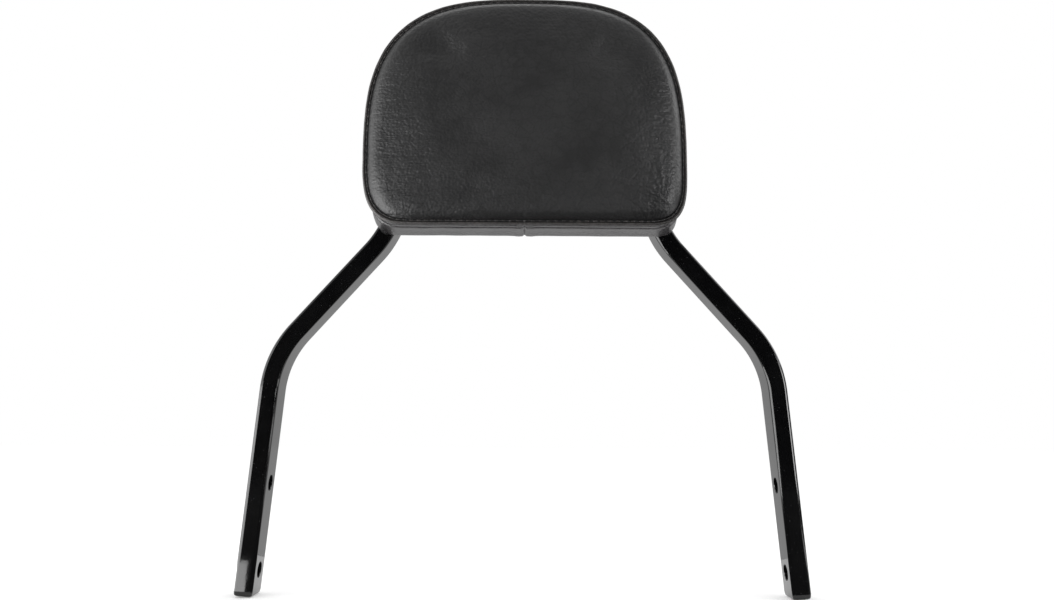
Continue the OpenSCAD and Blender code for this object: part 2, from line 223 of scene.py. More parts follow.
def blackVinyl(name, creaseDepth=0.00018, rough=0.0, paintedLightScale=(1, 1, 1), wrinkled=False):
    mat, shader = newMaterial(name)
    where = objectCoords(mat)
    warped = warpedCoords(mat, where)
    bent = noiseNode(mat, where, 26, 3, 0.5)
    patch = remap(mat, bent, 0.40, 0.62, 0.15, 1.0)
    pebble = cells(mat, warped, "SMOOTH_F1", vinyl["pebble"], 0.35)
    lines = remap(mat, cells(mat, warped, "DISTANCE_TO_EDGE", vinyl["crease"]), 0.0, 0.10)
    lines = mathNode(mat, "MULTIPLY", lines, patch)
    folds = addNode(mat, "ShaderNodeMapping", Vector=warped)
    folds.inputs["Rotation"].default_value = vinyl["foldTurn"]
    folds.inputs["Scale"].default_value = vinyl["foldStretch"]
    longFolds = mathNode(mat, "MULTIPLY", noiseNode(mat, folds.outputs[0], 1.0, 4, 0.6), patch)
    grain = bump(mat, pebble, vinyl["pebbleDepth"], vinyl["pebbleStrength"])
    grain = bump(mat, lines, creaseDepth, vinyl["creaseStrength"], grain)
    grain = bump(mat, longFolds, vinyl["foldDepth"], vinyl["foldStrength"], grain)
    if wrinkled:
        grain = bump(mat, sideWrinkles(mat, where), sideWrinkle["depth"], sideWrinkle["strength"], grain)
    fine = noiseNode(mat, where, vinyl["fine"], 5, 0.65)
    put(mat, bump(mat, fine, vinyl["fineDepth"], vinyl["fineStrength"], grain), shader.inputs["Normal"])
    # painted shade: the colour is darker in the creases and between the pebbles, where shade falls, mixed with
    # a tone that differs at random
    shade = remap(mat, noiseNode(mat, where, 60, 6, 0.6), 0.3, 0.75, 0, 0.5)
    shade = mathNode(mat, "ADD", shade, remap(mat, pebble, 0.05, 0.5, 0, 0.7))
    shade = mathNode(mat, "MULTIPLY", shade, remap(mat, lines, 0.0, 0.5, 0.3, 1.0))
    # a factor above 1 lightens the vinyl's colour: painted light
    low = tuple(c * t for c, t in zip(vinyl["colour"], paintedLightScale))
    high = tuple(c * t for c, t in zip(vinyl["lighterTone"], paintedLightScale))
    put(mat, colourMix(mat, shade, low, high), shader.inputs["Base Color"])
    put(mat, remap(mat, bent, 0.35, 0.7, vinyl["rough"][0] + rough, vinyl["rough"][1] + rough),
        shader.inputs["Roughness"])
    shader.inputs["Specular IOR Level"].default_value = 0.5
    return mat


def plainFinish(name, low, high, rough, metal=0.0, scale=90, stretch=(1, 1, 1), depth=0.00005):
    mat, shader = newMaterial(name)
    where = objectCoords(mat, stretch)
    grain = noiseNode(mat, where, scale, 5, 0.6)
    put(mat, colourMix(mat, remap(mat, grain, 0.3, 0.7), low, high), shader.inputs["Base Color"])
    put(mat, remap(mat, grain, 0.3, 0.7, rough[0], rough[1]), shader.inputs["Roughness"])
    put(mat, bump(mat, grain, depth, 0.4), shader.inputs["Normal"])
    shader.inputs["Metallic"].default_value = metal
    return mat


cloth = {
    "colour": (0.010, 0.010, 0.0105), "fluff": (0.035, 0.035, 0.037), "fibres": 700, "fibreDepth": 0.0003,
    "rough": 0.92,
}


def backCloth(name):
    mat, shader = newMaterial(name)
    fibres = noiseNode(mat, objectCoords(mat), cloth["fibres"], 6, 0.75, 2.5)
    put(mat, colourMix(mat, remap(mat, fibres, 0.35, 0.65), cloth["colour"], cloth["fluff"]),
        shader.inputs["Base Color"])
    put(mat, bump(mat, fibres, cloth["fibreDepth"], 0.7), shader.inputs["Normal"])
    shader.inputs["Roughness"].default_value = cloth["rough"]
    shader.inputs["Sheen Weight"].default_value = 0.15
    shader.inputs["Sheen Roughness"].default_value = 0.5
    return mat


barPaint = glossBlack("glossBlackBar")
strapPaint = glossBlack("glossBlackStraps", 0.06)
panelVinyl = blackVinyl("blackVinylPanel", wrinkled=True)
# painted light: the welt and boxing wear the panel's black vinyl made four to five times lighter in colour,
# standing in for the light they catch
weltVinyl = blackVinyl("blackVinylWelt", 0.0001, 0.0, (4.1, 3.8, 3.5))
boxingVinyl = blackVinyl("blackVinylBoxing", 0.00012, -0.16, (5.0, 4.8, 4.8))
clothMat = backCloth("blackBackCloth")
threadMat = plainFinish("blackThread", (0.004, 0.004, 0.004), (0.012, 0.012, 0.012), (0.45, 0.7), 0, 1800)
zincMat = plainFinish("zincPlate", (0.50, 0.51, 0.53), (0.72, 0.72, 0.72), (0.22, 0.40), 1.0, 300)
blackZinc = plainFinish("blackZincPlate", (0.03, 0.03, 0.032), (0.07, 0.07, 0.072), (0.25, 0.42), 1.0, 300)
plyMat = plainFinish("birchPlywood", (0.42, 0.28, 0.16), (0.66, 0.49, 0.31), (0.55, 0.75), 0, 60, (1, 14, 1))
stapleMat = plainFinish("stapleWire", (0.45, 0.45, 0.46), (0.68, 0.68, 0.70), (0.25, 0.4), 1.0, 500)
print("materials made")


# meshes

def addPiece(name, verts, faces, mat, smoothAngle=35):
    mesh = bpy.data.meshes.new(name)
    mesh.from_pydata([tuple(v) for v in verts], [], faces)
    mesh.validate()
    mesh.materials.append(mat)
    obj = bpy.data.objects.new(name, mesh)
    scene.collection.objects.link(obj)
    fixNormals(obj)
    smooth(obj, smoothAngle)
    return obj


def fixNormals(obj):
    bm = bmesh.new()
    bm.from_mesh(obj.data)
    bmesh.ops.recalc_face_normals(bm, faces=bm.faces)
    bm.to_mesh(obj.data)
    bm.free()


def smooth(obj, angle=35):
    obj.data.shade_smooth()
    obj.data.set_sharp_from_angle(angle=math.radians(angle))


def applyModifiers(obj):
    depsgraph = bpy.context.evaluated_depsgraph_get()
    mesh = bpy.data.meshes.new_from_object(obj.evaluated_get(depsgraph))
    obj.modifiers.clear()
    obj.data = mesh


def sweepFaces(rings, points, loop=False):
    # a skin over rings of equally many points, closed by two caps or joined into a loop
    faces = []
    for k in range(rings if loop else rings - 1):
        a, b = k * points, ((k + 1) % rings) * points
        for i in range(points):
            j = (i + 1) % points
            faces.append((a + i, a + j, b + j, b + i))
    if not loop:
        faces.append(tuple(reversed(range(points))))
        faces.append(tuple((rings - 1) * points + i for i in range(points)))
    return faces


def addCutter(verts, points):
    rings = len(verts) // points
    mesh = bpy.data.meshes.new("cutter")
    mesh.from_pydata([tuple(v) for v in verts], [], sweepFaces(rings, points))
    cutter = bpy.data.objects.new("cutter", mesh)
    scene.collection.objects.link(cutter)
    fixNormals(cutter)
    return cutter


def cutWith(obj, cutter):
    cut = obj.modifiers.new("hole", "BOOLEAN")
    cut.operation = "DIFFERENCE"
    cut.solver = "EXACT"
    cut.object = cutter
    applyModifiers(obj)
    bpy.data.objects.remove(cutter)


# hoop: flat bar with rounded corners, swept round its bends, bevelled ends, countersunk bolt holes
# corners are the middle line of the right half (x, z); endBevel holds (along the bar, inset)
bar = {
    "width": 11, "depth": 22, "midDepth": 24.8, "cornerRadius": 2.0, "cornerSteps": 8,
    "bendRadius": 60, "bendStep": 1.5,
    "corners": [(75.5, 324.9), (75.5, 218.077), (147.156, 137.8), (159.818, 0)],
    "endBevel": ((0, 0.9), (0.35, 0.45), (1.2, 0.22), (2.8, 0.0)),
    "holeDiameter": 9, "holeEdge": 0.35, "holeSides": 64, "holeBeyond": 4,
    "boltSpan": 317, "boltPitch": 50, "boltToEnd": 14.4, "splay": 5.25,
}


def barSection(inset):
    u = bar["width"] / 2 - bar["cornerRadius"] - inset
    v = bar["depth"] / 2 - bar["cornerRadius"] - inset
    points = []
    for cu, cv, start in ((u, v, 0), (-u, v, 90), (-u, -v, 180), (u, -v, 270)):
        for i in range(bar["cornerSteps"] + 1):
            a = math.radians(start + 90 * i / bar["cornerSteps"])
            points.append((cu + bar["cornerRadius"] * math.cos(a), cv + bar["cornerRadius"] * math.sin(a)))
    return points


def barStations():
    # places along the bar as (x, z, heading, inset), from the left foot to the right one
    right = bar["corners"]
    path = [(-x, z) for x, z in reversed(right)] + list(right)
    heads = [math.atan2(q[1] - p[1], q[0] - p[0]) for p, q in zip(path, path[1:])]
    stations = []
    for along, inset in bar["endBevel"]:
        stations.append((path[0][0] + along * math.cos(heads[0]), path[0][1] + along * math.sin(heads[0]),
                         heads[0], inset))
    for i in range(1, len(path) - 1):
        a, b = heads[i - 1], heads[i]
        turn = b - a
        reach = bar["bendRadius"] * math.tan(abs(turn) / 2)
        startX, startZ = path[i][0] - reach * math.cos(a), path[i][1] - reach * math.sin(a)
        steps = max(2, round(abs(math.degrees(turn)) / bar["bendStep"]))
        side = 1 if turn > 0 else -1
        for k in range(steps + 1):
            h = a + turn * k / steps
            stations.append((startX + side * bar["bendRadius"] * (math.sin(h) - math.sin(a)),
                             startZ - side * bar["bendRadius"] * (math.cos(h) - math.cos(a)), h, 0))
    for along, inset in reversed(bar["endBevel"]):
        stations.append((path[-1][0] - along * math.cos(heads[-1]), path[-1][1] - along * math.sin(heads[-1]),
                         heads[-1], inset))
    return stations


def holeCutter(side, up):
    splay = math.radians(bar["splay"])
    r, edge, half, beyond = bar["holeDiameter"] / 2, bar["holeEdge"], bar["width"] / 2, bar["holeBeyond"]
    profile = [(-half - beyond, r + edge), (-half, r + edge), (-half + edge, r),
               (half - edge, r), (half, r + edge), (half + beyond, r + edge)]
    centre = Vector((side * bar["boltSpan"] / 2, bar["midDepth"], bar["boltToEnd"] * math.cos(splay)))
    along = Vector((-side * math.sin(splay), 0, math.cos(splay)))
    out = Vector((side * math.cos(splay), 0, math.sin(splay)))
    centre = centre + along * up
    verts = []
    for x, radius in profile:
        for i in range(bar["holeSides"]):
            a = 2 * math.pi * i / bar["holeSides"]
            verts.append((centre + out * x + along * radius * math.cos(a)
                          + Vector((0, 1, 0)) * radius * math.sin(a)) * mm)
    return addCutter(verts, bar["holeSides"])


def addHoop():
    stations = barStations()
    verts = []
    for x, z, h, inset in stations:
        for u, v in barSection(inset):
            verts.append(Vector((x - u * math.sin(h), bar["midDepth"] + v, z + u * math.cos(h))) * mm)
    hoop = addPiece("hoop", verts, sweepFaces(len(stations), len(barSection(0))), barPaint)
    for side in (-1, 1):
        for up in (0, bar["boltPitch"]):
            cutWith(hoop, holeCutter(side, up))
    smooth(hoop, 30)
    weighted = hoop.modifiers.new("evenShading", "WEIGHTED_NORMAL")
    weighted.keep_sharp = True
    weighted.weight = 90
    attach(hoop, "root")
    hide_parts("hoop_bar")


addHoop()
print("hoop swept")


# the pad's outline: a superelliptic arch on two rounded bottom corners, as even points around it
# a lower corner's height and width are given at the board and at the welt
pad = {
    "width": 182, "height": 131, "bottom": 208.2, "back": 13.8,
    "cornerHeight": (23, 38.5), "cornerWidth": (17.5, 27), "boardFront": 11.2, "weltBack": 38.8,
    "cornerScale": {"left": 1.0, "right": 0.77}, "archPower": {"left": 2.95, "right": 3.14},
    "cornerPower": 3.0, "points": 384,
    "walkSteps": {"base": 60, "foot": 400, "arch": 900},
}


def cornerMix(t):
    # from 0 at the board, where the lower corners are squarer, to 1 at the welt; t is the height over the back
    return min(1.0, max(0.0, (t - pad["boardFront"]) / (pad["weltBack"] - pad["boardFront"])))


def outlinePoint(part, angle, inset, mix, side="left"):
    half = pad["width"] / 2 - inset
    (lowHeight, highHeight), (lowWidth, highWidth) = pad["cornerHeight"], pad["cornerWidth"]
    high = pad["cornerScale"][side] * (lowHeight + (highHeight - lowHeight) * mix)
    if part == "foot":
        a = pad["cornerScale"][side] * (lowWidth + (highWidth - lowWidth) * mix)
        b, power, centre = high - inset, pad["cornerPower"], half - a
    else:
        a, b, power, centre = half, pad["height"] - high - inset, pad["archPower"][side], 0
    c, s = math.cos(angle), math.sin(angle)
    r = ((abs(c) / a) ** power + (abs(s) / b) ** power) ** (-1 / power)
    return centre + r * c, high + r * s


def outlineSpots():
    # fine walk from the bottom's middle up the right side to the top's middle, then evened out
    base, foot, arch = (pad["walkSteps"][part] for part in ("base", "foot", "arch"))
    walk = [("base", i / base) for i in range(base + 1)]
    walk += [("foot", math.radians(-90 + 90 * i / foot)) for i in range(1, foot)]
    walk += [("arch", math.radians(90 * i / arch)) for i in range(arch + 1)]
    spots = [walkPoint(part, t, 0, 1) for part, t in walk]
    lengths = [0.0]
    for p, q in zip(spots, spots[1:]):
        lengths.append(lengths[-1] + math.dist(p, q))
    half = pad["points"] // 2
    right, k = [], 0
    for i in range(half + 1):
        goal = lengths[-1] * i / half
        while k < len(walk) - 2 and lengths[k + 1] < goal:
            k += 1
        right.append(walk[k] if goal - lengths[k] < lengths[k + 1] - goal else walk[k + 1])
    return right


def walkPoint(part, t, inset, mix, side="left"):
    if part == "base":
        x, z = outlinePoint("foot", math.radians(-90), inset, mix, side)
        return x * t, z
    return outlinePoint(part, t, inset, mix, side)


def fullRing(inset, mix):
    # the lower right corner is squarer than the left, as on the pad in the photo
    right = [walkPoint(part, s, inset, mix, "right") for part, s in rightSpots]
    left = [walkPoint(part, s, inset, mix) for part, s in rightSpots]
    return right + [(-x, z) for x, z in reversed(left[1:-1])]


rightSpots = outlineSpots()


def padPoint(x, z, t):
    return Vector((x, pad["back"] - t, pad["bottom"] + z)) * mm


def padRing(inset, t, bulge=None):
    # one closed ring of the pad: inset from the outline, t forward from the pad's back
    flat = fullRing(inset, cornerMix(t))
    ring = []
    for k, (x, z) in enumerate(flat):
        outward, forward = bulge(k / len(flat)) if bulge else (0, 0)
        nx, nz = ringNormals[k]
        ring.append(padPoint(x + nx * outward, z + nz * outward, t + forward))
    return ring


def outlineNormals():
    flat = fullRing(0, 1)
    normals = []
    for k in range(len(flat)):
        (ax, az), (bx, bz) = flat[k - 2], flat[(k + 2) % len(flat)]
        length = math.hypot(bx - ax, bz - az)
        normals.append(((bz - az) / length, -(bx - ax) / length))
    return normals


ringNormals = outlineNormals()


def ringLength(ring):
    return sum((b - a).length for a, b in zip(ring, ring[1:] + ring[:1])) / mm


def wobble(seed, size, times):
    # smooth closed wave round the outline
    offset = Vector((seed * 3.1, seed * 7.7, 0))
    def wave(t):
        a = 2 * math.pi * t
        return size * noise.noise(offset + Vector((math.cos(a), math.sin(a), 0)) * times)
    return wave


# stuffed cushion: front panel drawn over the foam, closed behind against the board
# cap is the most that the cloth may move a point, in mm
cushion = {
    "grid": 56, "seamInset": 2.5, "seamDepth": 41.3, "crown": 8.1, "flatness": 15, "roundness": 0.56,
    "sideInset": 2.9, "sideMiddle": 26, "foamBack": 11.2,
    "pressure": 2.5, "slack": 0.004, "frames": 16, "quality": 7, "cap": 1.0,
    "mass": 0.12, "stretch": 18, "shear": 6, "bend": 3.0, "pin": 5,
}


def puff(s):
    # height of the crown from the middle, where s is 0, to the seam, where it is 1
    return (1 - s ** cushion["flatness"]) ** cushion["roundness"] if s < 1 else 0.0


def squareWalk(u, v):
    # a spot on the square grid, as (ring level, share of the way round from the bottom's middle)
    s = max(abs(u), abs(v))
    if s == 0:
        return 0.0, 0.0
    u, v = u / s, v / s
    if v <= -1 + 1e-9:
        t = u
    elif u >= 1 - 1e-9:
        t = 2 + v
    elif v >= 1 - 1e-9:
        t = 4 - u
    else:
        t = 6 - v if v > 0 or u < 0 else 0
    return s, (t / 8) % 1.0


def ringAt(share, inset, t):
    if (inset, t) not in ringCache:
        ringCache[inset, t] = fullRing(inset, cornerMix(t))
    flat = ringCache[inset, t]
    k = share * len(flat)
    i = int(k) % len(flat)
    f = k - int(k)
    (ax, az), (bx, bz) = flat[i], flat[(i + 1) % len(flat)]
    return ax + (bx - ax) * f, az + (bz - az) * f


ringCache = {}


def cushionMesh():
    n = cushion["grid"]
    middle = pad["height"] / 2
    verts, index = [], {}
    for j in range(n + 1):
        for i in range(n + 1):
            s, share = squareWalk(2 * i / n - 1, 2 * j / n - 1)
            x, z = ringAt(share, cushion["seamInset"], cushion["seamDepth"])
            index[i, j] = len(verts)
            verts.append(padPoint(x * s, middle + (z - middle) * s,
                                  cushion["seamDepth"] + cushion["crown"] * puff(s)))
    faces = [(index[i, j], index[i + 1, j], index[i + 1, j + 1], index[i, j + 1])
             for i in range(n) for j in range(n)]
    edge = ([(i, 0) for i in range(n)] + [(n, j) for j in range(n)]
            + [(n - i, n) for i in range(n)] + [(0, n - j) for j in range(n)])
    rim = [index[e] for e in edge]
    previous, back = rim, []
    for t in (cushion["seamDepth"] - 1.6, cushion["sideMiddle"], cushion["foamBack"] + 0.2):
        ring = []
        for i, j in edge:
            share = squareWalk(2 * i / n - 1, 2 * j / n - 1)[1]
            x, z = ringAt(share, cushion["sideInset"], t)
            ring.append(len(verts))
            verts.append(padPoint(x, z, t))
        for k in range(len(rim)):
            m = (k + 1) % len(rim)
            faces.append((previous[k], previous[m], ring[m], ring[k]))
        previous = ring
        back += ring
    faces.append(tuple(previous))
    return verts, faces, rim, back


def simulate(obj, pinned):
    # cloth with pressure and a pinned seam, each point capped to a small move
    limit = cushion["cap"] * mm
    start = [v.co.copy() for v in obj.data.vertices]
    group = obj.vertex_groups.new(name="seam")
    group.add(pinned, 1.0, "REPLACE")
    cloth = obj.modifiers.new("cloth", "CLOTH")
    vinylSkin = cloth.settings
    vinylSkin.quality = cushion["quality"]
    vinylSkin.mass = cushion["mass"]
    vinylSkin.tension_stiffness = vinylSkin.compression_stiffness = cushion["stretch"]
    vinylSkin.shear_stiffness = cushion["shear"]
    vinylSkin.bending_stiffness = cushion["bend"]
    vinylSkin.vertex_group_mass = "seam"
    vinylSkin.pin_stiffness = cushion["pin"]
    vinylSkin.use_pressure = True
    vinylSkin.uniform_pressure_force = cushion["pressure"]
    vinylSkin.shrink_min = cushion["slack"]
    vinylSkin.effector_weights.gravity = 0
    cloth.point_cache.frame_start = 1
    cloth.point_cache.frame_end = cushion["frames"]
    for f in range(1, cushion["frames"] + 1):
        scene.frame_set(f)
    applyModifiers(obj)
    scene.frame_set(1)
    moved = 0.0
    for v, old in zip(obj.data.vertices, start):
        step = v.co - old
        moved = max(moved, step.length)
        if step.length > limit:
            v.co = old + step * (limit / step.length)
    obj.vertex_groups.clear()
    print(obj.name, "cloth moved up to", round(moved * 1000, 2), "mm")


def addCushion():
    verts, faces, rim, back = cushionMesh()
    obj = addPiece("padCushion", verts, faces, panelVinyl, 180)
    simulate(obj, rim + back)
    # the seam stays sharp when the skin is subdivided
    crease = obj.data.attributes.get("crease_edge") or obj.data.attributes.new("crease_edge", "FLOAT", "EDGE")
    rimSet = set(rim)
    for e in obj.data.edges:
        if e.vertices[0] in rimSet and e.vertices[1] in rimSet:
            crease.data[e.index].value = 1.0
    sub = obj.modifiers.new("fine", "SUBSURF")
    sub.levels = sub.render_levels = 2
    applyModifiers(obj)
    wrinkleCushion(obj)
    smooth(obj, 60)
    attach(obj, "root")
    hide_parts("front_panel", "foam_core")


# wrinkles in the skin itself, in mm; from and over are shares of half the pad's width
wrinkles = {
    "sideDepth": 0.08, "sideFrom": 0.45, "sideOver": 0.35, "upperShare": 0.35, "upperFrom": 0.45,
    "cornerDepth": 0.13, "cornerIn": 14, "cornerUp": 12, "cornerReach": 46, "cornerCore": 7, "fans": 6.5,
}


def sideFold(x, z, nx, nz):
    # level folds by the left and right edges, deeper in the lower part
    s = min(1.0, (abs(nx) ** 3 + abs(nz) ** 3) ** (1 / 3))
    near = max(0.0, min(1.0, (abs(nx) - wrinkles["sideFrom"]) / wrinkles["sideOver"])) * max(0.0, 1 - s ** 14)
    drift = noise.noise(Vector((x, z, 0)) * 0.05)
    waves = noise.noise(Vector((x * 0.045, z * 0.42, 2.0 + 0.3 * drift)))
    fine = noise.noise(Vector((x * 0.11, z * 0.95, 9.0)))
    lower = 1.0 if nz < wrinkles["upperFrom"] else wrinkles["upperShare"]
    return wrinkles["sideDepth"] * near * (waves + 0.5 * fine) * lower


def cornerFold(x, z):
    # folds that fan out from the lower corners
    dx, dz = abs(x) - (pad["width"] / 2 - wrinkles["cornerIn"]), z - wrinkles["cornerUp"]
    reach = math.hypot(dx, dz)
    near = max(0.0, 1 - reach / wrinkles["cornerReach"]) * min(1.0, reach / wrinkles["cornerCore"])
    radial = noise.noise(Vector((math.atan2(dz, -dx) * wrinkles["fans"], reach * 0.05, 4.0 + (x > 0) * 3)))
    return wrinkles["cornerDepth"] * near * radial * 1.6


def wrinkleCushion(obj):
    middle = pad["height"] / 2
    seamY = (pad["back"] - cushion["seamDepth"]) * mm
    for v in obj.data.vertices:
        if v.co.y > seamY + 0.0002:
            continue
        x, z = v.co.x / mm, v.co.z / mm - pad["bottom"]
        fold = sideFold(x, z, x / (pad["width"] / 2), (z - middle) / middle) + cornerFold(x, z)
        v.co.y -= fold * mm


addCushion()
print("cushion done")


# welt: flat folded strip round the front edge, outside the stitched groove
welt = {
    "width": 2.0, "thickness": 3.2, "front": 42.0, "wave": 0.12, "outwardTimes": 11, "forwardTimes": 13,
}


def addWelt():
    # the section as (inset, height in front of the pad's back), from the groove round to the outside
    w, f, t = welt["width"], welt["front"], welt["thickness"]
    section = [(w - 0.05, f - t + 0.1), (w - 0.05, f - 1.9), (w - 0.2, f - 1.0), (w - 0.75, f - 0.35),
               (w * 0.5, f), (0.62, f - 0.12), (0.24, f - 0.5), (0.04, f - 1.05), (0.0, f - 1.6),
               (0.05, f - 2.15), (0.28, f - 2.7), (0.7, f - t), (w * 0.6, f - t)]
    outward = wobble(3, welt["wave"], welt["outwardTimes"])
    forward = wobble(5, welt["wave"], welt["forwardTimes"])
    verts = [p for i, y in section for p in padRing(i, y, lambda s: (outward(s), forward(s)))]
    faces = sweepFaces(len(section), pad["points"], loop=True)
    obj = addPiece("padWelt", verts, faces, weltVinyl, 50)
    sub = obj.modifiers.new("round", "SUBSURF")
    sub.levels = sub.render_levels = 1
    applyModifiers(obj)
    smooth(obj, 180)
    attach(obj, "root")
    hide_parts("edge_welt")


addWelt()


# boxing: one strip of vinyl round the sides, creased, turned in behind the board, its ends butted below
# around is the way round it in mm, which turns a share of the way into a distance from the seam
boxing = {
    "out": 1.6, "front": 38.65, "turnIn": 13.0, "waves": 0.22, "around": 540,
    "crease": 24.8, "creaseDepth": 0.9, "creaseDrift": 1.1, "pleat": 30.6, "pleatDepth": 0.85,
    "seamWidth": 1.1, "seamDepth": 0.8, "lipAt": 3, "lipWidth": 2.4, "lipHeight": 0.35, "pinch": 16,
}


def boxingSection():
    # (inset, height in front of the pad's back): the outer side from the front edge back, then the inner side
    o, f, c, p = boxing["out"], boxing["front"], boxing["crease"], boxing["pleat"]
    front = [(o + 0.5, f), (o + 0.15, f - 0.7), (o, f - 1.8), (o + 0.25, f - 4.5), (o + 0.2, p + 1.2),
             (o + boxing["pleatDepth"], p), (o + 0.25, p - 0.8), (o, p - 1.5), (o + 0.2, c + 3.2)]
    crease = [(o + 0.1, c + 1.3), (o + 0.3, c + 0.55), (o + boxing["creaseDepth"], c), (o + 0.4, c - 0.6),
              (o - 0.1, c - 1.4)]
    back = [(o - 0.2, c - 4), (o, 15), (o - 0.4, 9), (o - 0.65, 5), (o - 0.65, 2.8), (o - 0.3, 1.6),
            (o + 0.5, 1.05)]
    inside = [(o + 2.0, 1.0), (o + boxing["turnIn"], 1.0), (o + boxing["turnIn"], 2.05), (o + 1.2, 2.05),
              (o + 1.2, f - 0.2)]
    return front, crease, back, inside


def addBoxing():
    front, crease, back, inside = boxingSection()
    wave = wobble(11, boxing["waves"], 7)
    drift = wobble(17, boxing["creaseDrift"], 4)

    def outerPush(s):
        # the butt seam is at the bottom's middle, where s is 0: a groove between two small lips
        near = min(s, 1 - s) * boxing["around"]
        groove = boxing["seamDepth"] * math.exp(-(near / (boxing["seamWidth"] / 2)) ** 2)
        lip = boxing["lipHeight"] * math.exp(-((near - boxing["lipAt"]) / boxing["lipWidth"]) ** 2)
        return wave(s) * 0.6 - groove + lip, 0

    def creasePush(s):
        near = min(s, 1 - s) * boxing["around"]
        return outerPush(s)[0], drift(s) * 0.5 + 0.9 * math.exp(-(near / boxing["pinch"]) ** 2)

    verts = []
    for points, push in ((front, outerPush), (crease, creasePush), (back, outerPush), (inside, None)):
        for inset, t in points:
            verts += padRing(inset, t, push)
    faces = sweepFaces(len(verts) // pad["points"], pad["points"], loop=True)
    obj = addPiece("padBoxing", verts, faces, boxingVinyl, 60)
    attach(obj, "root")
    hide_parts("boxing_band")


addBoxing()
print("welt and boxing done")


# stitches in the groove between the panel and the welt, and the vinyl pinched up between them
stitch = {
    "pitch": 4.0, "length": 3.1, "radius": 0.40, "endRadius": 0.22, "inset": 2.22, "depth": 41.35, "sink": 0.55,
    "sides": 8, "steps": 6,
}
bridge = {"radius": 0.42, "bottom": 40.90, "rise": 0.55, "span": 0.5208, "steps": 8}


def tube(points, radii, sides, verts, faces, across=Vector((0, 1, 0))):
    base = len(verts)
    for k, (p, r) in enumerate(zip(points, radii)):
        a, b = points[max(0, k - 1)], points[min(len(points) - 1, k + 1)]
        along = (b - a).normalized()
        side = along.cross(across).normalized()
        up = side.cross(along)
        for i in range(sides):
            q = 2 * math.pi * i / sides
            verts.append(p + side * (r * math.cos(q)) + up * (r * math.sin(q)))
    for k in range(len(points) - 1):
        for i in range(sides):
            j = (i + 1) % sides
            faces.append((base + k * sides + i, base + k * sides + j, base + (k + 1) * sides + j,
                          base + (k + 1) * sides + i))
    faces.append(tuple(base + i for i in reversed(range(sides))))
    faces.append(tuple(base + (len(points) - 1) * sides + i for i in range(sides)))


def addStitches(count, length):
    verts, faces = [], []
    for n in range(count):
        points, radii = [], []
        for k in range(stitch["steps"] + 1):
            w = 2 * k / stitch["steps"] - 1
            share = (n + 0.5) / count + stitch["length"] / length / 2 * w
            x, z = ringAt(share % 1.0, stitch["inset"], stitch["depth"])
            points.append(padPoint(x, z, stitch["depth"] - stitch["sink"] * w ** 4))
            radii.append((stitch["endRadius"] if abs(w) == 1 else stitch["radius"]) * mm)
        tube(points, radii, stitch["sides"], verts, faces)
    obj = addPiece("padStitches", verts, faces, threadMat, 60)
    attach(obj, "root")


def addBridges(count):
    verts, faces = [], []
    for n in range(count):
        points, radii = [], []
        for k in range(bridge["steps"] + 1):
            w = 2 * k / bridge["steps"] - 1
            x, z = ringAt((n + bridge["span"] / 2 * w) / count % 1.0, stitch["inset"], stitch["depth"])
            points.append(padPoint(x, z, bridge["bottom"] + bridge["rise"] * (1 - w * w)))
            radii.append(bridge["radius"] * mm * (0.35 + 0.65 * math.sqrt(1 - w * w)))
        tube(points, radii, stitch["sides"], verts, faces)
    # the bridges wear the welt's vinyl, made lighter in colour as painted light
    obj = addPiece("padStitchBridges", verts, faces, weltVinyl, 80)
    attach(obj, "root")


seamLength = ringLength(padRing(stitch["inset"], stitch["depth"]))
stitchCount = round(seamLength / stitch["pitch"])
addStitches(stitchCount, seamLength)
addBridges(stitchCount)
print("stitches:", stitchCount)


# back cloth with a folded hem, holes for the pad's screws, and staples round it
backPanel = {"inset": 5.6, "holeDiameter": 7.6, "holeSides": 32, "holeX": 35, "holeZ": (253, 299)}
staples = {
    "inset": 8.6, "crown": 10.0, "wire": 0.55, "pitch": 17.0, "height": 0.12, "leg": 1.4, "shoulder": 0.3,
    "aside": 0.004, "turn": 9,
}


def addBackPanel():
    i = backPanel["inset"]
    section = [(i + 1.2, 0.98), (i + 0.25, 0.95), (i, 0.7), (i + 0.15, 0.32), (i + 0.7, 0.16), (i + 6, 0.15)]
    verts = [p for inset, t in section for p in padRing(inset, t)]
    faces = sweepFaces(len(section), pad["points"])
    obj = addPiece("padBackCloth", verts, faces, clothMat, 40)
    r, sides = backPanel["holeDiameter"] / 2, backPanel["holeSides"]
    for x in (-backPanel["holeX"], backPanel["holeX"]):
        for z in backPanel["holeZ"]:
            around = []
            for y in (5, 20):
                for k in range(sides):
                    a = 2 * math.pi * k / sides
                    around.append(Vector((x + r * math.cos(a), y, z + r * math.sin(a))) * mm)
            cutWith(obj, addCutter(around, sides))
    smooth(obj, 40)
    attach(obj, "root")
    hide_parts("back_panel")


def addStaples():
    count = round(ringLength(padRing(staples["inset"], 0)) / staples["pitch"])
    half, leg, shoulder = staples["crown"] / 2, staples["leg"], staples["shoulder"]
    inward = Vector((0, -1, 0))
    verts, faces = [], []
    for n in range(count):
        share = ((n + 0.5) / count + rng.uniform(-staples["aside"], staples["aside"])) % 1.0
        x, z = ringAt(share, staples["inset"], 0)
        nextX, nextZ = ringAt((share + 0.004) % 1.0, staples["inset"], 0)
        along = Vector((nextX - x, 0, nextZ - z)).normalized()
        turn = math.radians(rng.uniform(-staples["turn"], staples["turn"]))
        along = Matrix.Rotation(turn, 3, "Y") @ along
        centre = Vector((x, pad["back"] + staples["height"], pad["bottom"] + z))
        ends = [(-half, leg), (-half, shoulder), (shoulder - half, 0), (half - shoulder, 0), (half, shoulder),
                (half, leg)]
        points = [(centre + along * a + inward * depth) * mm for a, depth in ends]
        tube(points, [staples["wire"] / 2 * mm] * len(points), 8, verts, faces,
             across=along.cross(Vector((0, 1, 0))).normalized())
    obj = addPiece("padStaples", verts, faces, stapleMat, 50)
    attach(obj, "root")
    print("staples:", count)


addBackPanel()
addStaples()


